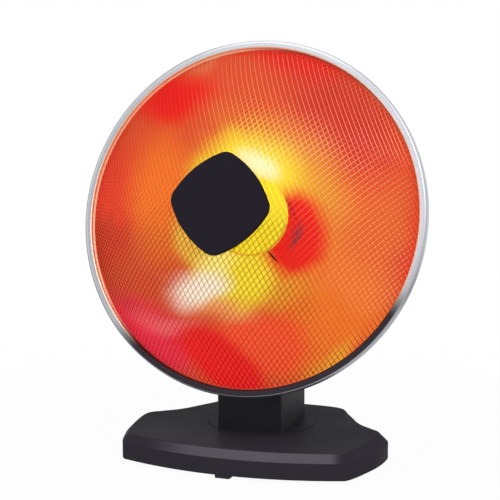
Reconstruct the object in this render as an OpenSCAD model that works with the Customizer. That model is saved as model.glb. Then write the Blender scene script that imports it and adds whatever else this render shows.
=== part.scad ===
// Parabolic dish heater on an oscillating neck.
// Millimetres, +Z up, front of the heater towards -Y. The origin lies on the floor, in the middle of the
// heater's overall width and depth. Most pieces are drawn in one of two frames and then placed:
// the neck frame (floor, neck axis) and the head frame (middle of the trim ring, +Z along the dish axis).

/* [Dish] */
// Outer diameter of the trim ring
dish_d = 320; // [300:1:340]
// Depth of the trim ring along the dish axis
ring_depth = 8.5; // [8:0.5:12]
// Width of the trim ring's front face
ring_face_w = 7; // [6.5:0.5:9]
// Sheet thickness of the trim ring
ring_t = 1; // [0.8:0.1:1.2]
// Depth of the reflector from its flange to its vertex
bowl_depth = 58; // [54:1:60]
// Sheet thickness of the reflector
bowl_t = 0.8; // [0.6:0.1:1]
// Backward tilt of the dish at rest, in degrees
head_tilt = 12.6; // [11:0.1:14]
// Height of the dish centre above the floor
head_z = 220.4; // [219:0.2:226]
// Distance of the dish centre in front of the neck axis
head_fwd = 37.2; // [37:0.1:42]

/* [Guard] */
// Rise of the guard's wire dome from its edge to its top
dome_h = 74.3; // [66:0.1:80]
// Diameter of a guard wire
wire_d = 0.6; // [0.5:0.1:1.2]
// Distance between neighbouring wires, along the dome
wire_pitch = 4.25; // [4.25:0.25:10]
// Direction across the front wires, in degrees from the dish's horizontal
wire_dir_front = 25.5; // [20:0.5:30]
// Direction across the back wires, in degrees from the dish's horizontal
wire_dir_back = 138; // [130:0.5:145]

/* [Badge] */
// Width of the blank badge plate, between the middles of opposite sides
badge_w = 76.6; // [70:0.2:80]
// Radius of the badge's bulging sides
badge_side_r = 79.6; // [60:0.2:120]
// Radius of the badge's round corners
badge_corner_r = 12.8; // [8:0.2:18]
// Thickness of the badge plate
badge_t = 3.2; // [2.6:0.1:4]
// Height of the pad between the mesh and the badge plate
badge_pad = 1.8; // [1:0.1:3]
// Roll of the badge from standing on its corner, in degrees
badge_roll = -4.6; // [-8:0.1:5]

/* [Element] */
// Diameter of the cap in front of the heating element
cap_d = 70.6; // [62:0.2:76]
// Diameter of the ceramic core
core_d = 29; // [24:0.5:32]
// Diameter of the coiled heating tube
coil_wire_d = 1.8; // [1.5:0.1:2]
// Turns of the heating coil
coil_turns = 10; // [7:1:10]
// Diameter of a cap leg
leg_d = 1.8; // [1.6:0.1:2.4]
// Direction of the first cap leg, in degrees
leg_dir = -57; // [-62:1:-40]
// Diameter of the reflector's centre hole
socket_hole_d = 40; // [38:0.5:42]

/* [Back cover] */
// Diameter of the housing behind the reflector
cover_d = 130; // [124:1:132]
// Length of the housing's straight wall and dome behind the reflector
cover_back_z = 87.5; // [86:0.5:92]
// Wall thickness of the housing
cover_t = 2.2; // [1.8:0.1:2.6]

/* [Neck] */
// Width of the neck column
neck_w = 61; // [58:1:66]
// Depth of the neck column
neck_d = 77.6; // [74:0.2:80]
// Wall thickness of the neck column
neck_t = 2.5; // [2:0.1:3]
// Radius of the column's upright edges
neck_edge_r = 3; // [2.6:0.2:8]
// Height of the column's front face above the floor
neck_front_z = 72; // [66:1:73]
// Tilt pivot behind the neck axis
pivot_y = 20; // [18:0.5:22]
// Height of the tilt pivot
pivot_z = 125; // [123:0.5:126]
// Radius of the column's ears
ear_r = 12; // [11.5:0.1:12.5]
// Width of the lug between the ears
lug_w = 34; // [30:1:36]
// Diameter of the tilt bolt
bolt_d = 8; // [6:0.5:8]

/* [Controls] */
// Height of the heat knob
knob_z = 78; // [77:0.5:80]
// Diameter of the heat knob
knob_d = 30; // [26:1:32]
// Height of the knob above the rear panel
knob_h = 14; // [11:1:16]
// Height of the oscillation rocker
rocker_z = 50; // [49:0.5:51]
// Tilt of the rocker at rest, in degrees
rocker_tilt = 8; // [5:1:8]

/* [Base] */
// Height of the base's top face
base_h = 25.9; // [25.5:0.1:28]
// Half width of the front edge, corner to corner
front_half = 102; // [98:0.5:103]
// Radius of the front edge in plan
front_r = 293; // [280:1:400]
// Front edge before the neck axis
base_front = 104.3; // [103:0.1:108]
// Rear edge behind the neck axis
base_rear = 81; // [80:0.5:90]
// Height of the upright wall
wall_top = 18; // [16:0.5:19]
// Inset of the top face, which makes the bevel
bevel_in = 4.6; // [3.5:0.1:6]
// Further inset of the top face at the base's left and right ends
bevel_more = 3.6; // [0:0.2:4.4]
// Wall thickness of the base
base_t = 2.4; // [2:0.1:2.8]
// Height of the feet below the base
foot_h = 3; // [2.5:0.5:4]
// Width of a rubber foot
foot_w = 14; // [12:0.5:16]
// Length of a rubber foot, front to back
foot_l = 10; // [8:0.5:11]
// Diameter of the turntable under the neck
turntable_d = 100; // [98:1:104]

/* [Oscillation drive] */
// Distance from the neck axis to the motor shaft
crank_y = 40; // [38:0.5:42]
// Throw of the crank
crank_r = 23; // [20:0.5:23]
// Diameter of the crank pin
crank_pin_d = 6; // [5:0.5:7]
// Diameter of the hollow spindle
spindle_d = 24; // [22:0.5:25]
// Diameter of the motor
motor_d = 50; // [46:1:54]

/* [Fits] */
// Gap between flat faces that slide past each other
gap = 0.3; // [0.25:0.05:0.35]
// Radial clearance of a turning pin or shaft
run_fit = 0.05; // [0.03:0.01:0.08]
// Clearance of a loosely fitted piece
loose = 0.2; // [0.1:0.05:0.25]

/* [Hidden] */

$fn = 64;
// Length of a cut that passes right through a wall
through = 20;

// ---- Trim ring, reflector flange and guard edge, stacked along the dish axis ----
ring_r = dish_d / 2;
lip_r = ring_r - ring_face_w;
ring_front = ring_depth / 2;
ring_rear = -ring_depth / 2;
seat = 0.1;
// Clearance of flat faces that are fastened together
touch = 0.05;
hem_t = 0.9;
flange_z = ring_rear + ring_t + bowl_t + seat;
hem_bottom = flange_z + seat;
hem_top = hem_bottom + hem_t;
lip_z = hem_top + seat;
hem_r = lip_r - 0.8;
channel_r = ring_r - ring_t - 0.4;
return_r = ring_r - 3.6;
ring_corner_r = 3;
lip_corner_r = 1.6;
// Direction square to the ring's face, which falls slightly inwards
face_dir = 97;

// ---- Wire dome: both wire layers are arcs on spheres about dome_c ----
wire_r = wire_d / 2;
dome_edge_r = hem_r - 0.4;
dome_edge_z = hem_top - wire_r - seat;
dome_r = (dome_edge_r * dome_edge_r + dome_h * dome_h) / (2 * dome_h);
dome_c = dome_edge_z + dome_h - dome_r;
dome_top = dome_edge_z + dome_h;
layer_step = wire_d + touch;

// ---- Badge ----
badge_back = dome_top + wire_r + gap;
badge_under = badge_back + badge_pad;
badge_front = badge_under + badge_t;
badge_edge_r = 1;
// Centres of the side arcs and the corner arcs, from the badge's middle; the arcs meet smoothly at side_half
side_c = badge_side_r - badge_w / 2;
corner_c = (sqrt(2 * pow(badge_side_r - badge_corner_r, 2) - side_c * side_c) - side_c) / 2;
side_half = atan2(corner_c, corner_c + side_c);
badge_low = corner_c * sqrt(2) * cos(badge_roll) + badge_corner_r - badge_edge_r;
stud_d = 2.2;
stud_in = 2.3;
clamp_d = 26;
clamp_t = 1.5;
clamp_z = dome_top - layer_step - wire_r - 0.8;

// ---- Reflector bowl, z(r) = flange_z - bowl_depth * (1 - (r / bowl_r)^2) ----
bowl_r = lip_r - 3;
bowl_steps = 18;
function bowl_z(r) = flange_z - bowl_depth * (1 - r * r / (bowl_r * bowl_r));

// ---- Element ----
cap_r = cap_d / 2;
cap_t = 1;
cap_rim_z = 0;
cap_dish = 3.5;
cap_rim_h = 3;
socket_hole_r = socket_hole_d / 2;
socket_r = socket_hole_r - loose;
collar_r = socket_hole_r + 5;
collar_h = 6;
socket_len = 13;
collar_z = bowl_z(collar_r) + gap;
core_z = collar_z + collar_h;
core_top = cap_rim_z - 1.5;
core_r = core_d / 2;
core_flange_t = 3;
rod_r = 2;
coil_wire_r = coil_wire_d / 2;
coil_r = core_r + gap + coil_wire_r;
core_flange_r = coil_r + coil_wire_r + 1;
coil_bend = 3 * coil_wire_r;
coil_low = core_z + core_flange_t + loose + coil_wire_d + coil_bend;
coil_high = core_top - core_flange_t - loose - coil_wire_d - coil_bend;
coil_pitch = (coil_high - coil_low) / coil_turns;
coil_sides = 6;
coil_rings = 24;
leg_r = leg_d / 2;
leg_out = 5.2;
leg_back = 8;
leg_run = 30;
nut_h = 4.5;
cutout_at = 40;

// ---- Back cover ----
cover_r = cover_d / 2;
cover_round = 8;
cover_front = bowl_z(cover_r) - bowl_t - gap;
cover_inner_front = bowl_z(cover_r - cover_t) - bowl_t - gap;
boss_r = 4.5;
boss_at = cover_r - 15;
screw_r = 2;
slot_w = 4;
slot_half_w = 26;
slot_step = 10;
slot_count = 7;
// The tilt pivot, seen in the head frame
lug_up = (pivot_y + head_fwd) * sin(head_tilt) + (pivot_z - head_z) * cos(head_tilt);
lug_fwd = -(pivot_y + head_fwd) * cos(head_tilt) + (pivot_z - head_z) * sin(head_tilt);
lug_r = ear_r - 1;

// ---- Neck ----
neck_y0 = -neck_d / 2;
neck_y1 = neck_d / 2;
neck_screw_x = 20;
neck_screw_y = 25;
washer_t = 0.6;
table_t = 1.6;
table_proud = 0.4;
// The turntable lies in a shallow well in the base's top
well_z = base_h + table_proud - table_t - gap - washer_t;
well_under = well_z - base_t;
well_r = turntable_d / 2 + 2 * loose;
table_z = well_z + washer_t + gap;
neck_z = table_z + table_t;
neck_screw = [1.55, neck_t + table_t, 3, 1.6];
shoulder_y = pivot_y - 26;
shoulder_z = pivot_z - 12;
rear_top_z = pivot_z - 21;
yoke_in = lug_w / 2 + gap + 1;
yoke_floor = pivot_z - ear_r - 1.5;
cavity_top = yoke_floor - 3.5;
bolt_r = bolt_d / 2;
bolt_head_r = bolt_d * 0.8;
bolt_head_h = 3.5;
counter_r = 8;
counter_x = neck_w / 2 - 5;
fric_r = 9;
cap_disc_t = 1.2;

// ---- Rear panel and controls, in the neck frame ----
panel_t = 2;
rebate = 1.5;
panel_y = neck_y1 - rebate;
panel_out = panel_y + panel_t;
panel_half = 23;
panel_z0 = 36;
panel_z1 = knob_z + 20.6;
ledge = 6;
panel_screw = [1, 3.8, 2, 1.2];
panel_screw_in = 3.5;
switch_w = 26;
switch_h = 24;
switch_deep = 20;
shaft_r = 3;
switch_bush_r = shaft_r + 2;
knob_r = knob_d / 2;
knob_skirt = 3;
grip_half = 2.5;
rocker_half = 8;
rocker_hz = 5;
frame_half = 10.5;
frame_hz = 8;
frame_flange = 2;
frame_in = 1.2;
frame_deep = 12;
rocker_y = panel_out - 1;
rocker_r = 6;
rocker_pin_r = 0.8;

// ---- Base ----
base_z = foot_h;
base_top_in = base_h - base_t;
plate_z = base_z + 0.2;
plate_t = 2;
plate_top = plate_z + plate_t;
deck_in = base_t + 0.5;
// Right half of the base outline behind the front corner, in plan about the neck axis:
// each [distance beyond the front corner, y]
side_reach = [[6.4, -75], [11.8, -59], [16.6, -42.5], [19.4, -25], [20, -10], [17.8, -1], [11.8, 4.8],
    [4, 9.2], [-5.7, 16.6], [-13.4, 26.6], [-20.4, 39.5], [-28.4, 53.5], [-36.5, 69], [-47, 76.8], [-66, 80]];
side_points = [for (p = side_reach) [front_half + p[0], p[1]]];
spline_steps = 3;
front_steps = 8;
boss_points = [[front_half - 18, -74], [front_half - 4, -22], [44, 58]];
base_screw = [1.5, 12, 3, 1.6];
boss_hole_r = 1.6;
boss_out_r = 4;
// Feet, each [x, y, turn in degrees]
foot_end_x = front_half + 11.6;
foot_points = [[-1.8, 5.9 - base_front, 0], [foot_end_x, -15, 90], [-foot_end_x, -15, 90],
    [46, 66, 0], [-46, 66, 0]];
foot_round = 1.5;
foot_top = base_z - seat;
stub_r = 2;

// ---- Oscillation drive ----
spindle_r = spindle_d / 2;
spindle_bore = spindle_r - 3;
bush_t = 2;
bush_flange_t = 0.35;
bush_r = spindle_r + run_fit + bush_t;
arm_top = well_under - 0.7;
arm_t = 2.2;
arm_z = arm_top - arm_t;
arm_slack = 1.9;
slot_half = crank_pin_d / 2 + arm_slack;
slot_in = crank_y - crank_r - crank_pin_d / 2 + 0.4;
slot_out = crank_y + crank_r + crank_pin_d / 2 + arm_slack;
crank_t = 2;
crank_half = 5.5;
crank_z = arm_z - 0.4 - crank_t;
motor_z = plate_top;
motor_h = crank_z - 1 - motor_z;
motor_lug = 6;
motor_shaft_r = 3;
shaft_z = motor_z + 4;

// ---- Tip-over switch ----
tip_x = 66;
tip_y = 8;
plunger_r = 4;
plunger_in = 11;
collar_rad = plunger_r + 1.5;
tip_body = [20, 16, 13];
tip_wall = 2;
spring_r = 2.2;
spring_wire_r = 0.4;
spring_turns = 3;
spring_z0 = plunger_in + seat + spring_wire_r;
spring_z1 = plate_top + tip_body[2] - tip_wall - seat - spring_wire_r;

// ---- Terminal block, and the cord gland in the rear wall ----
terminal_y = 50;
terminal_block_size = [34, 16, 12];
wire_hole_step = 10;
gland_z = 12.2;
gland_r = 6;
gland_bore = 3.6;
gland_flange = 8.5;
gland_lock = gland_r + 0.7;
gland_out = 2;

// The heater's middle lies between the badge's lowest front corner and the cord gland's end
front_reach = head_fwd + badge_front * cos(head_tilt) + badge_low * sin(head_tilt);
neck_axis_y = (front_reach - base_rear - gland_out) / 2;

black = "#1d1c20";
grey_metal = "#b9bcc0";
dark_steel = "#4a4a4e";
ceramic = "#e8e2d6";

// ---- Frames ----
module at_neck() translate([0, neck_axis_y, 0]) children();
module at_head() at_neck() translate([0, -head_fwd, head_z]) rotate([90 - head_tilt, 0, 0]) children();
// Stands an object drawn along +Z so that it points to the rear
module to_rear() rotate([-90, 0, 0]) children();
// Lays an object drawn along +Z so that it points to the right
module to_right() rotate([0, 90, 0]) children();

// ---- Shared shapes ----
module disc(r, z0, z1, fn = 64) translate([0, 0, z0]) cylinder(r = r, h = z1 - z0, $fn = fn);
module tube(r_out, r_in, z0, z1) {
    difference() {
        disc(r_out, z0, z1);
        disc(r_in, z0 - 1, z1 + 1);
    }
}
module bar(x0, x1, y0, y1, z0, z1) translate([x0, y0, z0]) cube([x1 - x0, y1 - y0, z1 - z0]);
function arc(centre, r, from, to) =
    [for (i = [0 : 8]) let (a = from + (to - from) * i / 8) centre + r * [cos(a), sin(a)]];
function turned(p, a) = [p[0] * cos(a) - p[1] * sin(a), p[0] * sin(a) + p[1] * cos(a)];
// Rectangle with round corners, centred
module round_rect(w, d, r) {
    x = w / 2 - r;
    y = d / 2 - r;
    polygon(concat(arc([x, y], r, 0, 90), arc([-x, y], r, 90, 180), arc([-x, -y], r, 180, 270),
        arc([x, -y], r, 270, 360)));
}
// Slot with round ends along X, from x0 to x1
module slot_2d(x0, x1, half) {
    translate([x0, -half]) square([x1 - x0, 2 * half]);
    for (x = [x0, x1]) translate([x, 0]) circle(r = half);
}
module ring_of(count, r, start = 0) {
    for (i = [0 : count - 1]) rotate(start + i * 360 / count) translate([r, 0, 0]) children();
}
// Screw pointing down from its head's underside at z = 0.
// Its size is [shank radius, length, head radius, head height].
module screw(size) {
    disc(size[2], 0, size[3], 32);
    disc(size[0], -size[1], 0.01, 32);
}

// ---- Guard ----
// One wire: an arc of the dome's sphere of radius sphere_r in the plane y = 0, moved sideways by u
module wire_arc(sphere_r, u) {
    arc_r = sqrt(sphere_r * sphere_r - u * u);
    half = acos((dome_edge_z - dome_c) / arc_r);
    translate([u, 0, dome_c]) rotate([0, -90, 0]) rotate([0, 0, -half])
        rotate_extrude(angle = 2 * half, $fn = 96) translate([arc_r, 0]) circle(r = wire_r, $fn = 6);
}
module wire_layer(sphere_r, dir) {
    edge = acos((dome_edge_z - dome_c) / sphere_r);
    count = floor((edge * PI / 180 * sphere_r - 4) / wire_pitch);
    rotate([0, 0, dir]) for (i = [-count : count])
        wire_arc(sphere_r, sphere_r * sin(i * wire_pitch / sphere_r * 180 / PI));
}
module guard_wires_front() color(grey_metal) at_head() wire_layer(dome_r, wire_dir_front);
module guard_wires_back() color(grey_metal) at_head() wire_layer(dome_r - layer_step, wire_dir_back);
module guard_hem() {
    color(dark_steel) at_head() rotate_extrude($fn = 128) difference() {
        translate([hem_r, hem_bottom]) square([channel_r - hem_r, hem_t]);
        translate([channel_r, hem_top]) circle(r = 0.4, $fn = 24);
    }
}

// ---- Badge ----
// Rounded square with bulging sides
module badge_outline(inset) {
    quarter = concat(
        arc([-side_c, 0], badge_side_r - inset, -side_half, side_half),
        arc([corner_c, corner_c], badge_corner_r - inset, side_half, 90 - side_half));
    polygon([for (a = [0 : 90 : 270], p = quarter) turned(p, a)]);
}
// Middle of the mesh opening i, j steps from the dome's top
function opening(i, j) =
    let (u = (i + 0.5) * wire_pitch, w = (j + 0.5) * wire_pitch, a = wire_dir_front, b = wire_dir_back,
        det = sin(b - a))
    [(u * sin(b) - w * sin(a)) / det, (w * cos(a) - u * cos(b)) / det];
stud_at = [opening(0, 0), opening(-1, -1)];
module badge_plate() {
    color(black) at_head() difference() {
        union() {
            rotate(badge_roll + 45) for (a = [0 : 30 : 90])
                translate([0, 0, badge_under]) linear_extrude(badge_t - badge_edge_r * (1 - sin(a)))
                    badge_outline(badge_edge_r * (1 - cos(a)));
            disc(clamp_d / 2, badge_back - 1, badge_under + 0.5);
        }
        translate([0, 0, dome_c]) sphere(r = dome_r + wire_r + gap, $fn = 128);
        for (p = stud_at) translate([p[0], p[1], 0])
            disc(stud_d / 2 + run_fit, badge_back - 1, badge_back + stud_in + loose, 24);
    }
}
module badge_studs() {
    color(dark_steel) at_head() for (p = stud_at)
        translate([p[0], p[1], 0]) disc(stud_d / 2, clamp_z - clamp_t - 0.8, badge_back + stud_in, 24);
}
module badge_clamp() {
    color(dark_steel) at_head() difference() {
        disc(clamp_d / 2, clamp_z - clamp_t, clamp_z);
        for (p = stud_at) translate([p[0], p[1], 0])
            disc(stud_d / 2 + run_fit, clamp_z - clamp_t - 1, clamp_z + 1, 24);
    }
}

// ---- Trim ring ----
// Rolled channel: outer wall, round front corner, face, round inner corner, a wall down to the guard's hem,
// and a short return behind the reflector's flange
outer_corner = [ring_r - ring_corner_r, ring_front - ring_corner_r];
inner_corner_x = lip_r + lip_corner_r;
inner_corner = [inner_corner_x, outer_corner[1] + (ring_corner_r - lip_corner_r
    + (outer_corner[0] - inner_corner_x) * cos(face_dir)) / sin(face_dir)];
module ring_section() {
    polygon(concat(
        [[ring_r, ring_rear]],
        arc(outer_corner, ring_corner_r, 0, face_dir),
        arc(inner_corner, lip_corner_r, face_dir, 180),
        [[lip_r, lip_z], [lip_r + ring_t, lip_z]],
        arc(inner_corner, lip_corner_r - ring_t, 180, face_dir),
        arc(outer_corner, ring_corner_r - ring_t, face_dir, 0),
        [[ring_r - ring_t, ring_rear + ring_t], [return_r, ring_rear + ring_t], [return_r, ring_rear]]));
}
module trim_ring() color(grey_metal) at_head() rotate_extrude($fn = 128) ring_section();
// Small clips that hold the trim ring's rear edge on the reflector's flange
module ring_clips() {
    clip_w = 10;
    clip_t = 1;
    clip_in = return_r - 2.6;
    clip_top = flange_z - bowl_t - touch;
    color(dark_steel) at_head() intersection() {
        rotate_extrude($fn = 128) polygon([[clip_in, clip_top], [clip_in + clip_t, clip_top],
            [clip_in + clip_t, ring_rear - touch], [ring_r - clip_t, ring_rear - touch],
            [ring_r - clip_t, ring_rear - touch - clip_t], [clip_in, ring_rear - touch - clip_t]]);
        ring_of(6, return_r, 90) bar(-6, 6, -clip_w / 2, clip_w / 2, ring_rear - 3, ring_rear + 5);
    }
}

// ---- Reflector ----
module reflector() {
    profile = [for (i = [0 : bowl_steps]) socket_hole_r + (bowl_r - socket_hole_r) * i / bowl_steps];
    color("#d8d2cc") at_head() rotate_extrude($fn = 128) polygon(concat(
        [for (r = profile) [r, bowl_z(r)]],
        [[channel_r, flange_z], [channel_r, flange_z - bowl_t]],
        [for (i = [bowl_steps : -1 : 0]) [profile[i], bowl_z(profile[i]) - bowl_t]]));
}

// ---- Heating element ----
module element_cap() {
    color("#e6b92c") at_head() difference() {
        rotate_extrude($fn = 96) polygon(concat(
            [for (i = [0 : 8]) [cap_r * i / 8, cap_rim_z + cap_dish * (1 - i * i / 64)]],
            [[cap_r, cap_rim_z - cap_rim_h], [cap_r - cap_t, cap_rim_z - cap_rim_h]],
            [for (i = [8 : -1 : 0])
                [(cap_r - cap_t) * i / 8, cap_rim_z - cap_t + cap_dish * (1 - i * i / 64)]]));
        disc(rod_r + loose, cap_rim_z - 5, cap_rim_z + 8, 32);
    }
}
// Two slanting legs, trimmed just above the bowl
module cap_legs() {
    leg_start_r = cap_r + leg_r * 1.25;
    leg_start_z = cap_rim_z - 1;
    reach = norm([leg_out, leg_back]) * (leg_start_z - bowl_z(leg_start_r + leg_run)) / leg_back;
    color(dark_steel) at_head() for (i = [0, 1]) rotate([0, 0, leg_dir + i * 180]) difference() {
        translate([leg_start_r, 0, leg_start_z]) rotate([0, 180 - atan(leg_out / leg_back), 0])
            cylinder(r = leg_r, h = reach, $fn = 24);
        rotate_extrude($fn = 128) polygon(concat(
            [for (r = [leg_start_r : leg_run / 8 : leg_start_r + 1.5 * leg_run]) [r, bowl_z(r) + loose]],
            [[leg_start_r + 1.5 * leg_run, -cover_back_z], [leg_start_r, -cover_back_z]]));
    }
}
module cap_nut() {
    color(grey_metal) at_head() difference() {
        disc(4, cap_rim_z + cap_dish + 0.1, cap_rim_z + cap_dish + nut_h - 1, 6);
        disc(rod_r + run_fit, 0, 20, 32);
    }
}
module element_core() {
    color(ceramic) at_head() {
        disc(core_r, core_z + 0.1, core_top);
        disc(core_flange_r, core_z + 0.1, core_z + core_flange_t);
        disc(core_flange_r, core_top - core_flange_t, core_top);
        disc(rod_r, core_top - 0.01, cap_rim_z + cap_dish + nut_h, 32);
    }
}
// Coil path: straight end, quarter bend, helix, quarter bend, straight end.
// Each point is [angle in degrees, height]; all lie at radius coil_r.
bend_angle = coil_bend / coil_r * 180 / PI;
bend_steps = 4;
coil_path = concat(
    [[-bend_angle, coil_low - coil_bend - coil_wire_d], [-bend_angle, coil_low - coil_bend]],
    [for (i = [1 : bend_steps]) let (a = 90 * i / bend_steps)
        [-bend_angle * cos(a), coil_low - coil_bend * (1 - sin(a))]],
    [for (i = [1 : coil_turns * coil_rings]) [360 * i / coil_rings, coil_low + coil_pitch * i / coil_rings]],
    [for (i = [1 : bend_steps]) let (a = 90 * i / bend_steps)
        [360 * coil_turns + bend_angle * sin(a), coil_high + coil_bend * (1 - cos(a))]],
    [[360 * coil_turns + bend_angle, coil_high + coil_bend + coil_wire_d]]);
coil_xyz = [for (p = coil_path) [coil_r * cos(p[0]), coil_r * sin(p[0]), p[1]]];
function unit(v) = v / norm(v);
// Tube swept along points that all lie on an upright cylinder, so each ring's frame starts from the radius
module swept_tube(pts, angles, r, sides) {
    n = len(pts);
    rings = [for (i = [0 : n - 1])
        let (t = unit(pts[min(i + 1, n - 1)] - pts[max(i - 1, 0)]), e = [cos(angles[i]), sin(angles[i]), 0],
            a = unit(e - (e * t) * t), b = cross(t, a))
        for (k = [0 : sides - 1]) pts[i] + r * cos(360 * k / sides) * a + r * sin(360 * k / sides) * b];
    polyhedron(points = rings, faces = concat(
        [[for (k = [0 : sides - 1]) k]],
        [for (i = [0 : n - 2], k = [0 : sides - 1]) let (a = i * sides + k, b = i * sides + (k + 1) % sides)
            [a, a + sides, b]],
        [for (i = [0 : n - 2], k = [0 : sides - 1]) let (a = i * sides + k, b = i * sides + (k + 1) % sides)
            [b, a + sides, b + sides]],
        [[for (k = [sides - 1 : -1 : 0]) (n - 1) * sides + k]]));
}
// Least distance between the coil's turns, less the tube's thickness
coil_gap = min([for (i = [0 : len(coil_xyz) - 13], j = [i + 12 : min(i + 36, len(coil_xyz) - 1)])
    norm(coil_xyz[i] - coil_xyz[j])]) - coil_wire_d;
module heating_coil() {
    echo(coil_gap = coil_gap);
    color("#c8502a") at_head() swept_tube(coil_xyz, [for (p = coil_path) p[0]], coil_wire_r, coil_sides);
}
module element_socket() {
    color(ceramic) at_head() {
        disc(collar_r, collar_z, core_z);
        disc(socket_r, collar_z - socket_len, collar_z + 0.01);
    }
}
module socket_nut() {
    nut_top = bowl_z(socket_hole_r) - bowl_t - 0.1;
    color(dark_steel) at_head() tube(socket_hole_r + 6, socket_r + run_fit, nut_top - 4, nut_top);
}
module thermal_cutout() {
    top = bowl_z(cutout_at - 7) - bowl_t - loose;
    color(grey_metal) at_head() translate([-cutout_at, 0, 0]) {
        disc(7, top - 6, top);
        bar(-12, 12, -3, 3, top - 7, top - 5.9);
    }
}

// ---- Back cover, with the lug that turns on the tilt bolt ----
module cover_section(r, back, corner) {
    difference() {
        square([r, cover_back_z + 10]);
        translate([-1, back]) square([r + 2, cover_back_z]);
        translate([r - corner, back - corner]) difference() {
            square(corner + 1);
            circle(r = corner);
        }
    }
}
module below_bowl(drop) {
    rotate_extrude($fn = 128) polygon(concat(
        [for (i = [0 : 10]) let (r = (cover_r + 4) * i / 10) [r, bowl_z(r) - bowl_t - drop]],
        [[cover_r + 4, -cover_back_z - 12], [0, -cover_back_z - 12]]));
}
module back_cover() {
    color(black) at_head() difference() {
        union() {
            intersection() {
                mirror([0, 0, 1]) rotate_extrude($fn = 128) cover_section(cover_r, cover_back_z, cover_round);
                below_bowl(gap);
            }
            translate([0, lug_up, lug_fwd]) to_right() cylinder(r = lug_r, h = lug_w, center = true);
            bar(-lug_w / 2, lug_w / 2, lug_up, -cover_r + 6, max(lug_fwd - lug_r, -cover_back_z),
                lug_fwd + lug_r);
        }
        difference() {
            mirror([0, 0, 1]) rotate_extrude($fn = 128)
                cover_section(cover_r - cover_t, cover_back_z - cover_t, cover_round - cover_t);
            ring_of(3, boss_at, 90) disc(boss_r, -cover_back_z, 0, 32);
        }
        ring_of(3, boss_at, 90) {
            disc(screw_r + run_fit, -cover_back_z - 1, 0, 24);
            disc(screw_r * 2 + loose, -cover_back_z - 1, -cover_back_z + 2, 24);
        }
        for (i = [0 : slot_count - 1]) let (row = i - (slot_count - 1) / 2, half = slot_half_w - 3 * abs(row))
            translate([0, row * slot_step, -cover_back_z - 1])
                linear_extrude(cover_t + 2) slot_2d(-half, half, slot_w / 2);
        translate([0, lug_up, lug_fwd]) to_right()
            cylinder(r = bolt_r + run_fit, h = lug_w + 2, center = true);
    }
}
// Studs on the reflector's back, with their nuts sunk in the cover
module cover_studs() {
    top = bowl_z(boss_at - screw_r) - bowl_t - seat;
    color(dark_steel) at_head() ring_of(3, boss_at, 90) translate([0, 0, -cover_back_z + 2])
        mirror([0, 0, 1]) screw([screw_r, cover_back_z - 2 + top, screw_r * 2, 1.6]);
}

// ---- Neck column ----
module column_profile() {
    ear_in = ear_r - 1;
    polygon([[neck_y0, neck_z], [neck_y0, neck_front_z], [shoulder_y, shoulder_z],
        [pivot_y - ear_in * cos(40), pivot_z + ear_in * sin(40)], [pivot_y + ear_in, pivot_z],
        [neck_y1, rear_top_z], [neck_y1, neck_z]]);
}
module cavity_profile() {
    polygon([[neck_y0 + neck_t, neck_z + neck_t], [neck_y0 + neck_t, neck_front_z - neck_t / 2],
        [shoulder_y - neck_t / 4, cavity_top], [neck_y1 - neck_t, cavity_top],
        [neck_y1 - neck_t, neck_z + neck_t]]);
}
// Extrudes a Y-Z profile across the width, centred
module across(w) translate([-w / 2, 0, 0]) rotate([90, 0, 90]) linear_extrude(w) children();
module panel_screw_places() {
    for (x = [-1, 1], z = [panel_z0 + panel_screw_in, panel_z1 - panel_screw_in])
        translate([x * (panel_half - ledge / 2), 0, z]) children();
}
module neck_screw_places() {
    for (x = [-1, 1], y = [-1, 1]) translate([x * neck_screw_x, y * neck_screw_y, 0]) children();
}
module neck_column() {
    color(black) at_neck() difference() {
        union() {
            intersection() {
                across(neck_w) column_profile();
                translate([0, 0, neck_z]) linear_extrude(pivot_z) round_rect(neck_w, neck_d, neck_edge_r);
            }
            translate([0, pivot_y, pivot_z]) to_right() cylinder(r = ear_r, h = neck_w, center = true);
        }
        intersection() {
            across(neck_w) cavity_profile();
            translate([0, 0, neck_z]) linear_extrude(pivot_z)
                round_rect(neck_w - 2 * neck_t, neck_d - 2 * neck_t, neck_edge_r - neck_t);
        }
        bar(-yoke_in, yoke_in, pivot_y - ear_r - 1.5, neck_y1 + 1, yoke_floor, pivot_z + ear_r + 1);
        translate([0, pivot_y, pivot_z]) to_right() {
            cylinder(r = bolt_r + run_fit, h = neck_w + 2, center = true);
            for (s = [0, 1]) mirror([0, 0, s]) disc(counter_r, counter_x, neck_w);
        }
        bar(-panel_half - loose, panel_half + loose, panel_y, neck_y1 + 1, panel_z0 - loose,
            panel_z1 + loose);
        bar(-panel_half + ledge, panel_half - ledge, neck_y1 - neck_t - 1, neck_y1 + 1, panel_z0 + ledge,
            panel_z1 - ledge);
        panel_screw_places() translate([0, neck_y1, 0]) to_rear()
            cylinder(r = panel_screw[0] + run_fit, h = through, center = true, $fn = 24);
        disc(spindle_bore, neck_z - 1, neck_z + neck_t + 1);
        neck_screw_places() disc(screw_r + run_fit, neck_z - 1, neck_z + neck_t + 1, 24);
    }
}
module rear_panel() {
    color(black) at_neck() difference() {
        bar(-panel_half, panel_half, panel_y + 0.05, panel_out, panel_z0, panel_z1);
        translate([0, panel_y, knob_z]) to_rear()
            cylinder(r = switch_bush_r + run_fit, h = through, center = true);
        bar(-frame_half + 1, frame_half - 1, panel_y - 1, panel_out + 1, rocker_z - frame_hz + 1,
            rocker_z + frame_hz - 1);
        panel_screw_places() translate([0, panel_y, 0]) to_rear()
            cylinder(r = panel_screw[0] + loose, h = through, center = true, $fn = 24);
    }
}
module panel_screws() {
    color(dark_steel) at_neck() panel_screw_places() translate([0, panel_out, 0]) to_rear()
        screw(panel_screw);
}
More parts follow.
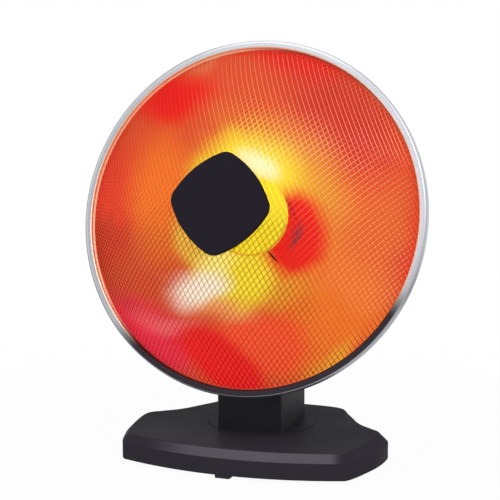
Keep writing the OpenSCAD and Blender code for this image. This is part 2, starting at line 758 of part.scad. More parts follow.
module heat_switch() {
    color(ceramic) at_neck() translate([0, 0, knob_z]) difference() {
        union() {
            bar(-switch_w / 2, switch_w / 2, panel_y - switch_deep, panel_y - touch, -switch_h / 2,
                switch_h / 2);
            translate([0, panel_y - 1, 0]) to_rear() disc(switch_bush_r, 0, panel_t + 1);
        }
        translate([0, panel_y, 0]) to_rear()
            cylinder(r = shaft_r + run_fit, h = 2 * switch_deep - 6, center = true);
    }
}
module selector_shaft() {
    color(grey_metal) at_neck() translate([0, panel_y, knob_z]) to_rear()
        disc(shaft_r, 3.5 - switch_deep, knob_h - 1);
}
module heat_knob() {
    color(black) at_neck() translate([0, panel_out + 0.5, knob_z]) to_rear() difference() {
        union() {
            disc(knob_r, 0, knob_skirt);
            translate([0, 0, knob_skirt - 0.01]) cylinder(r1 = knob_r - 2, r2 = knob_r - 3.5, h = knob_h - 4);
            bar(-grip_half, grip_half, 1.5 - knob_r, knob_r - 1.5, knob_skirt - 0.01, knob_h);
        }
        disc(shaft_r + run_fit, -1, knob_h - 3.5);
        ring_of(12, knob_r - 1, 15) disc(1.2, knob_skirt - 0.01, knob_h, 24);
    }
}
module rocker_frame() {
    color(black) at_neck() translate([0, 0, rocker_z]) difference() {
        union() {
            bar(-frame_half, frame_half, panel_out + touch, panel_out + frame_flange, -frame_hz, frame_hz);
            bar(frame_in - frame_half, frame_half - frame_in, panel_y - frame_deep, panel_out + 0.1,
                frame_in - frame_hz, frame_hz - frame_in);
        }
        bar(-rocker_half - gap, rocker_half + gap, panel_y - frame_deep + 3, panel_out + 3,
            -rocker_hz - 1.4, rocker_hz + 1.4);
        translate([0, rocker_y, 0]) to_right()
            cylinder(r = rocker_pin_r + run_fit, h = 2 * frame_half - 3, center = true, $fn = 24);
    }
}
module rocker() {
    color("#8e1a16") at_neck() translate([0, rocker_y, rocker_z]) rotate([rocker_tilt, 0, 0]) {
        intersection() {
            to_right() cylinder(r = rocker_r, h = 2 * rocker_half, center = true);
            bar(-rocker_half, rocker_half, -4, rocker_r - 0.6, -rocker_hz, rocker_hz);
        }
        to_right() cylinder(r = rocker_pin_r, h = 2 * frame_half - 3.4, center = true, $fn = 24);
    }
}
module tilt_bolt() {
    color(grey_metal) at_neck() translate([0, pivot_y, pivot_z]) to_right() {
        disc(bolt_r, -counter_x - bolt_head_h + 0.3, counter_x + 0.06);
        disc(bolt_head_r, counter_x + 0.05, counter_x + bolt_head_h, 6);
    }
}
module tilt_nut() {
    color(grey_metal) at_neck() translate([0, pivot_y, pivot_z]) to_right() difference() {
        disc(bolt_head_r, -counter_x - bolt_head_h, -counter_x - 0.05, 6);
        cylinder(r = bolt_r + run_fit, h = neck_w + 2, center = true);
    }
}
module friction_washers() {
    color("#c9b48a") at_neck() translate([0, pivot_y, pivot_z]) to_right()
        for (s = [0, 1]) mirror([0, 0, s]) tube(fric_r, bolt_r + run_fit, lug_w / 2 + gap, yoke_in);
}
module pivot_caps() {
    color(black) at_neck() translate([0, pivot_y, pivot_z]) to_right()
        for (s = [0, 1]) mirror([0, 0, s])
            disc(counter_r - seat, neck_w / 2 - cap_disc_t - seat, neck_w / 2 - seat);
}

// ---- Turntable, spindle and drive arm ----
module turntable() {
    color(black) at_neck() difference() {
        disc(turntable_d / 2, table_z, neck_z, 96);
        disc(spindle_r + run_fit, table_z - 1, neck_z + 1);
        neck_screw_places() disc(neck_screw[0] + run_fit, table_z - 1, neck_z + 1, 24);
    }
}
module neck_screws() {
    color(dark_steel) at_neck() neck_screw_places() translate([0, 0, neck_z + neck_t]) screw(neck_screw);
}
module drive_arm() {
    arm_half = slot_half + 4;
    color(dark_steel) at_neck() difference() {
        union() {
            disc(spindle_r, arm_z, neck_z - 0.05);
            disc(spindle_r + 6, arm_z, arm_top);
            rotate([0, 0, -90]) translate([0, 0, arm_z]) linear_extrude(arm_t)
                slot_2d(0, slot_out - slot_half, arm_half);
        }
        disc(spindle_bore, arm_z - 1, neck_z + 1);
        rotate([0, 0, -90]) translate([0, 0, arm_z - 1]) linear_extrude(arm_t + 2)
            slot_2d(slot_in + slot_half, slot_out - slot_half, slot_half);
    }
}
module spindle_bush() {
    color("#dcdcd8") at_neck() {
        tube(bush_r, spindle_r + run_fit, well_under - bush_flange_t - touch, well_z);
        tube(bush_r + 2, spindle_r + run_fit, well_under - bush_flange_t - touch, well_under - touch);
    }
}
module thrust_washer() {
    color("#dcdcd8") at_neck()
        tube(turntable_d / 2 - 10, bush_r + run_fit + 1, well_z + touch, well_z + washer_t);
}

// ---- Base outline: front arc, then a smooth curve through side_points, mirrored ----
function front_y(x) = -base_front + front_r - sqrt(front_r * front_r - x * x);
front_points = [for (i = [0 : front_steps]) let (x = front_half * i / front_steps) [x, front_y(x)]];
function curve(a, b, c, d, t) = 0.5 * ((2 * b) + (c - a) * t + (2 * a - 5 * b + 4 * c - d) * t * t
    + (3 * b - a - 3 * c + d) * t * t * t);
side_knots = concat([front_points[front_steps - 1], front_points[front_steps]], side_points,
    [[0, base_rear], [-side_points[len(side_points) - 1][0], side_points[len(side_points) - 1][1]]]);
side_curve = [for (i = [1 : len(side_knots) - 3], s = [1 : spline_steps])
    curve(side_knots[i - 1], side_knots[i], side_knots[i + 1], side_knots[i + 2], s / spline_steps)];
half_outline = concat(front_points, side_curve);
last_point = len(half_outline) - 1;
outline = concat(half_outline,
    [for (i = [last_point - 1 : -1 : 1]) [-half_outline[i][0], half_outline[i][1]]]);
outline_n = len(outline);
// Share of bevel_more at x: 0 along the front edge, 1 at the base's left and right ends
function end_share(x) = min(1, max(0, (abs(x) - front_half) / (side_reach[4][0] - 2)));
// The outline moved inwards by d, and by more at the two ends, square to its own direction
function inset(d, more = 0) = [for (i = [0 : outline_n - 1])
    let (t = unit(outline[(i + 1) % outline_n] - outline[(i + outline_n - 1) % outline_n]))
    outline[i] + (d + more * end_share(outline[i][0])) * [-t[1], t[0]]];
// Solid through a stack of outlines, each [inset, height, further inset at the ends]
module loft(levels) {
    n = outline_n;
    top = len(levels) - 1;
    polyhedron(
        points = [for (level = levels) for (p = inset(level[0], level[2])) [p[0], p[1], level[1]]],
        faces = concat(
            [[for (i = [0 : n - 1]) i]],
            [for (k = [0 : top - 1], i = [0 : n - 1]) [k * n + i, (k + 1) * n + i, k * n + (i + 1) % n]],
            [for (k = [0 : top - 1], i = [0 : n - 1])
                [k * n + (i + 1) % n, (k + 1) * n + i, (k + 1) * n + (i + 1) % n]],
            [[for (i = [n - 1 : -1 : 0]) top * n + i]]));
}
module base_boss_places() for (p = boss_points, s = [-1, 1]) translate([s * p[0], p[1], 0]) children();
module base_shell() {
    color(black) at_neck() difference() {
        union() {
            difference() {
                loft([[0.5, base_z, 0], [0, base_z + 0.6, 0], [0, wall_top - 0.4, 0],
                    [0.35, wall_top + 0.5, 0.3], [bevel_in - 0.5, base_h - 0.7, bevel_more - 0.3],
                    [bevel_in, base_h, bevel_more]]);
                loft([[base_t, base_z - 1, 0], [base_t, wall_top - 0.5, 0],
                    [bevel_in + base_t * 0.8, base_top_in, bevel_more]]);
            }
            base_boss_places() tube(boss_out_r, boss_hole_r, plate_top + 0.1, base_top_in + 0.5);
            disc(well_r + base_t, well_under, base_top_in + 0.5, 96);
        }
        disc(well_r, well_z, base_h + 1, 96);
        disc(bush_r + run_fit, well_under - 1, base_h + 1);
        translate([0, base_rear - base_t - 3, gland_z]) to_rear()
            cylinder(r = gland_r + loose, h = through, $fn = 48);
    }
}
module bottom_plate() {
    color(dark_steel) at_neck() difference() {
        translate([0, 0, plate_z]) linear_extrude(plate_t) polygon(inset(deck_in));
        base_boss_places() disc(base_screw[0] + gap, 0, through, 24);
        for (p = foot_points) translate([p[0], p[1], 0]) disc(stub_r + run_fit, 0, through, 24);
        translate([tip_x, tip_y, 0]) disc(plunger_r + run_fit, 0, through, 32);
    }
}
module base_screws() {
    color(grey_metal) at_neck() base_boss_places() translate([0, 0, plate_z - touch]) mirror([0, 0, 1])
        screw(base_screw);
}
module feet() {
    color("#141414") at_neck() for (p = foot_points) translate([p[0], p[1], 0]) rotate(p[2]) {
        linear_extrude(0.41) round_rect(foot_w - 0.8, foot_l - 0.8, foot_round);
        translate([0, 0, 0.4]) linear_extrude(foot_top - 0.4) round_rect(foot_w, foot_l, foot_round);
        disc(2 * stub_r, foot_top - 0.01, plate_z - touch, 32);
        disc(stub_r, foot_top, plate_top + 0.6, 24);
        disc(stub_r + 0.6, plate_top + touch, plate_top + 1, 24);
    }
}
module drive_motor() {
    color(grey_metal) at_neck() translate([0, -crank_y, 0]) difference() {
        union() {
            disc(motor_d / 2, motor_z + 0.02, motor_z + motor_h);
            bar(-motor_d / 2 - motor_lug, motor_d / 2 + motor_lug, -5, 5, motor_z + 0.02, motor_z + 1.2);
        }
        disc(motor_shaft_r + run_fit, shaft_z - 0.3, crank_z);
    }
}
module motor_shaft() {
    color(dark_steel) at_neck() translate([0, -crank_y, 0]) disc(motor_shaft_r, shaft_z, crank_z + crank_t);
}
module crank() {
    color("#dcdcd8") at_neck() translate([0, -crank_y, 0]) difference() {
        union() {
            translate([0, 0, crank_z]) rotate([0, 0, -90]) linear_extrude(crank_t)
                slot_2d(0, crank_r, crank_half);
            translate([0, -crank_r, 0]) disc(crank_pin_d / 2, crank_z, arm_top - loose, 48);
        }
        disc(motor_shaft_r + run_fit, crank_z - 1, crank_z + crank_t + 1);
    }
}

// ---- Tip-over switch ----
module tip_switch() {
    color("#20242c") at_neck() translate([tip_x, tip_y, 0]) difference() {
        bar(-tip_body[0] / 2, tip_body[0] / 2, -tip_body[1] / 2, tip_body[1] / 2, plate_top + touch,
            plate_top + tip_body[2]);
        disc(collar_rad + run_fit, plate_top - 1, plate_top + tip_body[2] - tip_wall);
    }
}
module tip_plunger() {
    color("#b02018") at_neck() translate([tip_x, tip_y, 0]) {
        disc(plunger_r, 0.1, plunger_in, 48);
        disc(collar_rad, plunger_in - 2, plunger_in, 48);
    }
}
module plunger_spring() {
    steps = spring_turns * 24;
    angles = [for (i = [0 : steps]) 360 * i / 24];
    pts = [for (i = [0 : steps]) [spring_r * cos(angles[i]), spring_r * sin(angles[i]),
        spring_z0 + (spring_z1 - spring_z0) * i / steps]];
    color(grey_metal) at_neck() translate([tip_x, tip_y, 0]) swept_tube(pts, angles, spring_wire_r, 6);
}
module terminal_block() {
    w = terminal_block_size[0];
    d = terminal_block_size[1];
    h = terminal_block_size[2];
    color(ceramic) at_neck() translate([0, terminal_y, plate_top + 0.02]) difference() {
        bar(-w / 2, w / 2, -d / 2, d / 2, 0, h);
        for (x = [-1, 0, 1]) translate([x * wire_hole_step, 0, h / 2]) to_rear()
            cylinder(r = 2, h = through, center = true, $fn = 24);
    }
}
module cord_gland() {
    color(black) at_neck() translate([0, base_rear, gland_z]) to_rear() difference() {
        union() {
            disc(gland_r, -base_t - 3, gland_out);
            disc(gland_flange, 0.3, gland_out);
            disc(gland_lock, -base_t - 3, -base_t - 1);
        }
        disc(gland_bore, -base_t - 5, 5);
    }
}

guard_wires_front();
guard_wires_back();
guard_hem();
badge_plate();
badge_studs();
badge_clamp();
trim_ring();
ring_clips();
reflector();
element_cap();
cap_legs();
cap_nut();
element_core();
heating_coil();
element_socket();
socket_nut();
thermal_cutout();
back_cover();
cover_studs();
neck_column();
rear_panel();
panel_screws();
heat_switch();
selector_shaft();
heat_knob();
rocker_frame();
rocker();
tilt_bolt();
tilt_nut();
friction_washers();
pivot_caps();
turntable();
neck_screws();
drive_arm();
spindle_bush();
thrust_washer();
base_shell();
bottom_plate();
base_screws();
feet();
drive_motor();
motor_shaft();
crank();
tip_switch();
tip_plunger();
plunger_spring();
terminal_block();
cord_gland();
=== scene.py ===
"""Parabolic heater: a glowing dish behind a fine wire guard, on a short neck and a low black base."""
import math

import bpy
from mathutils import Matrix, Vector


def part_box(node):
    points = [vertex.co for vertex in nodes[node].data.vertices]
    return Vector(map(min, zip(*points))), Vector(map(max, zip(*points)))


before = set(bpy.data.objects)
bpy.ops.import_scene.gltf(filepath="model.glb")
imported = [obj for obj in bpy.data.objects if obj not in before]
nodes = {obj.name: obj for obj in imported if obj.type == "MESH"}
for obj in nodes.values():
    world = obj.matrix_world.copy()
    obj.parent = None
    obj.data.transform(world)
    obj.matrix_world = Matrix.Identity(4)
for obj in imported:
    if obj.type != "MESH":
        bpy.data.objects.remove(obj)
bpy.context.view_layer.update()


def middle(node):
    low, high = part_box(node)
    return (low + high) / 2


def half_width(node):
    low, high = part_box(node)
    return (high.x - low.x) / 2


NECK_Y = middle("turntable").y
DISH = middle("trim_ring")
DISH_R = half_width("trim_ring")
CAP_R = half_width("element_cap")
BASE_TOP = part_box("base_shell")[1].z

# ---- Shapes of the CAD that the materials follow, in metres ----
TILT = math.radians(12.6)  # how far the dish leans back at rest
BOWL_R = DISH_R - 0.010  # of the bowl's mouth
BOWL_DEPTH = 0.058
CAP_FORWARD = 0.0  # the cap's place along the dish's axis
BEVEL_H = 0.0079  # height of the bevel round the base's top

# ---- Camera: fitted to the photograph, placed from the neck's axis on the floor ----
CAM_FROM_NECK = Vector((0.34626, -1.03294, 0.30721))
AIM_FROM_NECK = Vector((-0.01208, 0.0, 0.18623))
FOCAL_PX = 1189.14
FRAME_PX = 500
SENSOR_MM = 36.0


def make_camera():
    neck = Vector((0, NECK_Y, 0))
    data = bpy.data.cameras.new("camera")
    data.sensor_width = SENSOR_MM
    data.lens = FOCAL_PX / FRAME_PX * SENSOR_MM
    camera = bpy.data.objects.new("camera", data)
    camera.location = neck + CAM_FROM_NECK
    gaze = neck + AIM_FROM_NECK - camera.location
    camera.rotation_euler = gaze.to_track_quat("-Z", "Y").to_euler()
    bpy.context.scene.collection.objects.link(camera)
    bpy.context.scene.camera = camera


# ---- Node helpers ----
NOISE_RANGE = 0.3, 0.7


def rgb(red, green, blue):
    """An sRGB colour, 0 to 255, as the linear colour that shaders take."""

    def linear(v):
        v /= 255
        return v / 12.92 if v <= 0.04045 else ((v + 0.055) / 1.055) ** 2.4

    return (linear(red), linear(green), linear(blue), 1.0)


class Shader:
    """A new material with a Principled shader, and short ways to add nodes to it."""

    def __init__(self, name, **sockets):
        self.material = bpy.data.materials.new(name)
        self.material.use_nodes = True
        self.tree = self.material.node_tree
        self.main = self.tree.nodes["Principled BSDF"]
        for key, value in sockets.items():
            self.main.inputs[key.replace("_", " ")].default_value = value
        coordinates = self.tree.nodes.new("ShaderNodeTexCoord")
        self.coords = coordinates.outputs["Object"]
        self.normal = coordinates.outputs["Normal"]

    def link(self, source, target):
        if hasattr(source, "is_output"):
            self.tree.links.new(source, target)
        else:
            target.default_value = source

    def feed(self, source, socket="Base Color"):
        self.link(source, self.main.inputs[socket])

    def math(self, operation, a, b=0.0, c=0.0):
        node = self.tree.nodes.new("ShaderNodeMath")
        node.operation = operation
        for socket, value in zip(node.inputs, (a, b, c)):
            self.link(value, socket)
        return node.outputs[0]

    def combine(self, first, second):
        """The sum of two products. With (right, a) and (up, b) it grows in the direction (a, b)."""
        return self.math("ADD", self.math("MULTIPLY", *first), self.math("MULTIPLY", *second))

    def product(self, first, *others):
        for other in others:
            first = self.math("MULTIPLY", first, other)
        return first

    def length(self, right, up):
        return self.math("SQRT", self.combine((right, right), (up, up)))

    def noise(self, scale, detail=3.0):
        node = self.tree.nodes.new("ShaderNodeTexNoise")
        self.link(self.coords, node.inputs["Vector"])
        node.inputs["Scale"].default_value = scale
        node.inputs["Detail"].default_value = detail
        node.inputs["Roughness"].default_value = 0.5
        return node.outputs["Fac"]

    def remap(self, value, low, high, to_low=0.0, to_high=1.0, smooth=True):
        node = self.tree.nodes.new("ShaderNodeMapRange")
        node.interpolation_type = "SMOOTHSTEP" if smooth else "LINEAR"
        self.link(value, node.inputs["Value"])
        for key, number in (("From Min", low), ("From Max", high), ("To Min", to_low), ("To Max", to_high)):
            self.link(number, node.inputs[key])
        return node.outputs["Result"]

    def band(self, value, rise, fall):
        """1 between two soft limits of a value and 0 outside them; rise and fall are (from, to)."""
        return self.product(self.remap(value, *rise), self.remap(value, *fall, 1.0, 0.0))

    def mix(self, factor, a, b):
        node = self.tree.nodes.new("ShaderNodeMix")
        node.data_type = "RGBA"
        self.link(factor, node.inputs[0])
        self.link(a, node.inputs[6])
        self.link(b, node.inputs[7])
        return node.outputs[2]

    def spread(self, noise, low, high, smooth=True):
        """Noise from its usual range to low and high."""
        return self.remap(noise, *NOISE_RANGE, low, high, smooth)

    def uneven_roughness(self, roughness, scale):
        self.feed(self.spread(self.noise(scale), roughness - 0.05, roughness + 0.05), "Roughness")

    def bump(self, height, distance):
        node = self.tree.nodes.new("ShaderNodeBump")
        node.inputs["Strength"].default_value = 1.0
        node.inputs["Distance"].default_value = distance
        self.link(height, node.inputs["Height"])
        self.feed(node.outputs[0], "Normal")

    def head_axes(self):
        """Right, up the dish and forward along its axis, in metres from the dish's middle."""
        mapping = self.tree.nodes.new("ShaderNodeMapping")
        mapping.vector_type = "TEXTURE"
        mapping.inputs["Location"].default_value = DISH
        mapping.inputs["Rotation"].default_value = (math.pi / 2 - TILT, 0, 0)
        self.link(self.coords, mapping.inputs["Vector"])
        split = self.tree.nodes.new("ShaderNodeSeparateXYZ")
        self.link(mapping.outputs[0], split.inputs[0])
        return split.outputs

    def spot(self, right, up, at, size, core, turn=0.0):
        """A soft oval spot: 1 in the share core of its size, 0 from its edge on. Its middle and its half
        width and height are (right, up), in metres; turn is in degrees, anticlockwise."""
        c, s = math.cos(math.radians(turn)), math.sin(math.radians(turn))
        dx = self.math("SUBTRACT", right, at[0])
        dy = self.math("SUBTRACT", up, at[1])
        along = self.combine((dx, c / size[0]), (dy, s / size[0]))
        across = self.combine((dx, -s / size[1]), (dy, c / size[1]))
        return self.remap(self.length(along, across), core, 1.0, 1.0, 0.0)


# ---- Materials ----
BLACK = (0.0, 0.0, 0.0, 1.0)
# Dark red painted on the bowl's metal where the element's glow falls
GLOW_TINTED_METAL = rgb(70, 22, 12)
HOT_CERAMIC = rgb(60, 26, 10)
RED = rgb(224, 40, 36)
SCARLET = rgb(228, 22, 24)
DEEP_RED = rgb(228, 26, 28)
CRIMSON = rgb(184, 24, 32)
MAGENTA = rgb(226, 44, 70)
PINK = rgb(238, 116, 118)
ROSE = rgb(200, 48, 44)
BEIGE = rgb(214, 134, 88)
ORANGE_RED = rgb(214, 78, 44)
HOT_RED = rgb(240, 80, 44)
ORANGE = rgb(233, 116, 40)
APRICOT = rgb(242, 160, 92)
AMBER = rgb(228, 156, 46)
STRAW = rgb(236, 190, 70)
YELLOW = rgb(244, 220, 52)
CAP_YELLOW = rgb(246, 224, 44)
CREAM = rgb(255, 238, 130)
PALE = rgb(254, 240, 218)
WHITE_HIGHLIGHT = rgb(255, 250, 200)
DARK_SPOT = rgb(100, 46, 58)
RED_WIRE = rgb(232, 60, 50)

# The red spot of painted glow at the right of the cap: its middle, half width and height, core and turn
RED_SPOT = (0.027, -0.009), (0.041, 0.050), 0.55, 18

# The spots' outlines wander by up to this much, in metres
GLOW_WARP = 0.008

# How far the glow seen through a wire lies to the left of it and above it, for each metre behind it
BEHIND_LEFT, BEHIND_UP = 0.35, 0.133


def glow(sh, right, up):
    """The element's glow reflected in the bowl, painted on as colour: yellow round the element, orange on
    the right and below, red towards the rim.
    Each spot lies over those before it: tint, middle, half width and height, core, turn, amount."""
    warp = sh.spread(sh.noise(16.0, 2.0), -GLOW_WARP, GLOW_WARP, smooth=False)
    right = sh.math("ADD", right, warp)
    up = sh.math("SUBTRACT", up, warp)
    colour = ORANGE_RED
    for tint, at, size, core, turn, amount in (
        (ROSE, (0.070, 0.092), (0.090, 0.055), 0.3, -35, 0.85),
        (SCARLET, (-0.084, 0.111), (0.054, 0.026), 0.3, 14, 0.95),
        (RED, (0.040, 0.143), (0.080, 0.022), 0.3, -10, 0.90),
        (BEIGE, (0.111, 0.108), (0.032, 0.006), 0.1, -45, 0.50),
        (BEIGE, (-0.045, 0.146), (0.045, 0.009), 0.1, 14, 0.60),
        (RED, (-0.142, 0.000), (0.030, 0.110), 0.3, 0, 0.40),
        (RED, (0.150, -0.020), (0.018, 0.070), 0.2, 0, 0.45),
        (ORANGE, (0.105, 0.000), (0.060, 0.060), 0.2, 0, 0.50),
        (ORANGE, (0.075, -0.085), (0.085, 0.066), 0.4, 35, 1.00),
        (ORANGE, (0.050, -0.050), (0.070, 0.064), 0.3, 0, 0.90),
        (ORANGE, (-0.098, 0.020), (0.036, 0.085), 0.3, 0, 0.90),
        (AMBER, (0.082, -0.123), (0.042, 0.018), 0.1, 34, 0.95),
        (HOT_RED, (0.010, -0.110), (0.058, 0.036), 0.5, 0, 0.95),
        (APRICOT, (-0.034, -0.079), (0.046, 0.020), 0.2, -8, 0.85),
        (MAGENTA, (-0.084, -0.110), (0.064, 0.032), 0.4, -32, 0.95),
        (PINK, (-0.074, -0.099), (0.044, 0.014), 0.2, -8, 0.60),
        (DEEP_RED, (-0.022, -0.127), (0.066, 0.023), 0.5, -28, 1.00),
        (AMBER, (0.002, 0.030), (0.102, 0.084), 0.35, -28, 1.00),
        (AMBER, (-0.008, -0.044), (0.080, 0.042), 0.4, -10, 0.90),
        (YELLOW, (-0.020, 0.030), (0.068, 0.066), 0.55, -20, 1.00),
        (STRAW, (-0.076, -0.019), (0.018, 0.032), 0.3, 36, 0.85),
        (YELLOW, (-0.030, -0.046), (0.052, 0.042), 0.4, -8, 0.95),
        (CREAM, (-0.052, -0.034), (0.032, 0.017), 0.2, 18, 0.75),
        (PALE, (-0.059, -0.061), (0.037, 0.031), 0.3, 0, 0.90),
        # painted highlight, white-yellow, above the middle of the bowl
        (WHITE_HIGHLIGHT, (-0.010, 0.054), (0.031, 0.016), 0.2, -28, 0.90),
        (SCARLET, *RED_SPOT, 1.00),
        # painted shadow along the cap's right edge
        (CRIMSON, (0.021, 0.016), (0.005, 0.019), 0.1, 32, 0.90),
        # a dark purplish spot in the painted glow, right of the cap
        (DARK_SPOT, (0.028, -0.010), (0.008, 0.018), 0.1, -32, 0.90),
    ):
        colour = sh.mix(sh.product(sh.spot(right, up, at, size, core, turn), amount), colour, tint)
    return colour


def metal_with_painted_glow(name, plain_to, glowing_from):
    """Metal with the bowl's glow painted on, as dark red colour and emission, and plain steel where it
    faces back; the two limits are the cosine of the angle between the surface's normal and the dish's axis."""
    sh = Shader(name, Specular_IOR_Level=0.1, Emission_Strength=1.0)
    right, up, _ = sh.head_axes()
    facing = sh.tree.nodes.new("ShaderNodeVectorMath")
    facing.operation = "DOT_PRODUCT"
    sh.link(sh.normal, facing.inputs[0])
    facing.inputs[1].default_value = (0, -math.cos(TILT), math.sin(TILT))
    inside = sh.remap(facing.outputs["Value"], plain_to, glowing_from)
    steel = sh.mix(sh.noise(60.0, 5.0), rgb(172, 172, 176), rgb(164, 163, 166))
    # painted glow: dark red colour and emission where the metal faces forward
    sh.feed(sh.mix(inside, steel, GLOW_TINTED_METAL))
    sh.feed(sh.mix(inside, BLACK, glow(sh, right, up)), "Emission Color")
    sh.feed(sh.math("SUBTRACT", 1.0, inside), "Metallic")
    sh.uneven_roughness(0.45, 40.0)
    return sh.material


def cap_leg():
    """Blackened wire, with the bowl's glow painted on where it nears the bowl."""
    sh = Shader("cap_leg", Roughness=0.6, Specular_IOR_Level=0.1, Emission_Strength=1.0)
    right, up, forward = sh.head_axes()
    soot = sh.mix(sh.noise(200.0), rgb(34, 24, 26), rgb(58, 40, 36))
    # painted glow where the leg nears the bowl
    glow_near_bowl = sh.remap(forward, -0.014, -0.010, 1.0, 0.0)
    sh.feed(sh.mix(glow_near_bowl, soot, GLOW_TINTED_METAL))
    sh.feed(sh.mix(glow_near_bowl, BLACK, glow(sh, right, up)), "Emission Color")
    return sh.material


def guard_wire(name, *tones):
    """Plated wire painted with the colour of the glow behind it, with painted highlights and painted shade
    in parts of the guard.
    Each tone: tint, amount, limits. A limit (across, upwards, from, to) grows from 0 to 1 while
    across * right + upwards * up grows between the last two, in metres."""
    sh = Shader(name, Metallic=1.0, Roughness=0.45)
    right, up, forward = sh.head_axes()
    squares = sh.combine((right, right), (up, up))
    bowl = sh.math("MULTIPLY_ADD", squares, BOWL_DEPTH / BOWL_R**2, -BOWL_DEPTH)
    depth = sh.math("SUBTRACT", forward, bowl)
    left, rise = sh.product(depth, BEHIND_LEFT), sh.product(depth, BEHIND_UP)
    behind = sh.math("SUBTRACT", right, left), sh.math("ADD", up, rise)
    colour = glow(sh, *behind)
    # painted glow: the cap's yellow on the wires in front of it
    to_cap = sh.math("SUBTRACT", forward, CAP_FORWARD)
    cap_right = sh.math("MULTIPLY_ADD", to_cap, -BEHIND_LEFT, right)
    cap_up = sh.math("MULTIPLY_ADD", to_cap, BEHIND_UP, up)
    over_cap = sh.spot(cap_right, cap_up, (0, 0), (CAP_R, CAP_R), 0.94)
    colour = sh.mix(over_cap, colour, CAP_YELLOW)
    uneven = sh.spread(sh.noise(30.0), -0.01, 0.01, smooth=False)
    for tint, amount, limits in tones:
        for across, upwards, start, end in limits:
            place = sh.math("ADD", sh.combine((right, across), (up, upwards)), uneven)
            amount = sh.product(amount, sh.remap(place, start, end))
        colour = sh.mix(amount, colour, tint)
    # painted glow: the red spot's colour on the wires in front of it
    over_red = sh.product(sh.spot(*behind, *RED_SPOT), sh.remap(over_cap, 0.0, 1.0, 0.55, 0.0))
    sh.feed(sh.mix(over_red, colour, RED_WIRE))
    sh.bump(sh.noise(900.0), 0.00003)
    return sh.material


# Painted shade: the wires are darkest where they stand against the yellow glow
BELOW_THE_PLATE = (
    rgb(80, 36, 14),
    0.46,
    ((0.0, 1.0, -0.098, -0.072), (0.0, -1.0, -0.005, 0.030), (-1.0, 0.0, -0.085, -0.045)),
)


def front_wire():
    """The wires that lean left: painted highlight in the upper part, painted shade below on the left and
    beside the red spot.
    """
    return guard_wire(
        "front_wire",
        (rgb(252, 190, 150), 0.46, ((-0.16, 1.0, 0.014, 0.054), (1.0, 0.3, -0.035, 0.045))),
        (
            rgb(84, 36, 16),
            0.34,
            ((0.0, -1.0, -0.010, 0.030), (-1.0, 0.0, -0.105, -0.060), (0.54, 1.0, -0.152, -0.120)),
        ),
        BELOW_THE_PLATE,
        (
            rgb(96, 44, 16),
            0.34,
            (
                (1.0, 0.0, 0.036, 0.056),
                (-1.0, 0.0, -0.104, -0.074),
                (0.0, 1.0, -0.050, -0.020),
                (0.0, -1.0, -0.056, -0.030),
            ),
        ),
    )


def back_wire():
    """The wires that lean right: painted highlight on the right and in the middle, painted shade below on
    the left.
    """
    return guard_wire(
        "back_wire",
        (
            rgb(255, 208, 168),
            0.58,
            ((-0.2, -1.0, -0.104, -0.056), (1.0, 0.35, 0.020, 0.085), (0.42, 1.0, -0.044, -0.020)),
        ),
        (
            rgb(96, 40, 16),
            0.34,
            ((-1.0, -0.35, -0.060, -0.025), (0.0, -1.0, -0.020, 0.020), (0.54, 1.0, -0.152, -0.120)),
        ),
        BELOW_THE_PLATE,
    )


def in_from_rim(*distances):
    return tuple(DISH_R - distance for distance in distances)


def trim_chrome():
    """Bright chrome with painted reflections, greyer below and on the left; its lower arc is painted dark
    where it mirrors the dark base under it.
    """
    sh = Shader("trim_chrome", Metallic=1.0, Roughness=0.42)
    right, up, _ = sh.head_axes()
    angle = sh.math("ARCTAN2", up, right)
    # painted reflection of the dark base in the lower arc
    dark = sh.band(
        angle,
        (math.radians(-142), math.radians(-128)),
        (math.radians(-32), math.radians(-20)),
    )
    radius = sh.length(right, up)
    # painted reflections by radius: a bright inner lip, a darker outer edge, a lighter rolled edge, and a
    # grey band that dulls the lamp's highlight at the upper right
    lip = sh.remap(radius, *in_from_rim(0.0066, 0.0056), 1.0, 0.0)
    edge = sh.remap(radius, *in_from_rim(0.0022, 0.0008))
    rolled = sh.remap(radius, *in_from_rim(0.0022, 0.0010))
    edge_amount = sh.remap(sh.combine((right, 0.7), (up, 0.7)), 0.055, 0.100, 0.85, 0.10)
    crown = sh.band(radius, in_from_rim(0.0034, 0.0022), in_from_rim(0.0006, 0.0001))
    crown = sh.product(crown, sh.remap(sh.combine((right, 0.95), (up, 0.3)), 0.100, 0.142))
    bright = sh.mix(sh.noise(60.0), rgb(196, 198, 203), rgb(207, 208, 213))
    bright = sh.mix(sh.remap(up, -0.085, 0.0, 1.0, 0.0), bright, rgb(172, 171, 172))
    bright = sh.mix(sh.remap(right, -0.16, 0.02, 0.9, 0.0), bright, rgb(164, 168, 172))
    bright = sh.mix(sh.product(edge, edge_amount), bright, rgb(112, 112, 116))
    bright = sh.mix(crown, bright, rgb(174, 176, 181))
    bright = sh.mix(lip, bright, rgb(255, 236, 222))
    # lower arc painted dark, with a lighter rolled outer edge and a lip that reflects the red glow
    shade = sh.mix(rolled, rgb(52, 47, 53), rgb(170, 172, 177))
    shade = sh.mix(lip, shade, rgb(64, 34, 36))
    sh.feed(sh.mix(dark, bright, shade))
    return sh.material


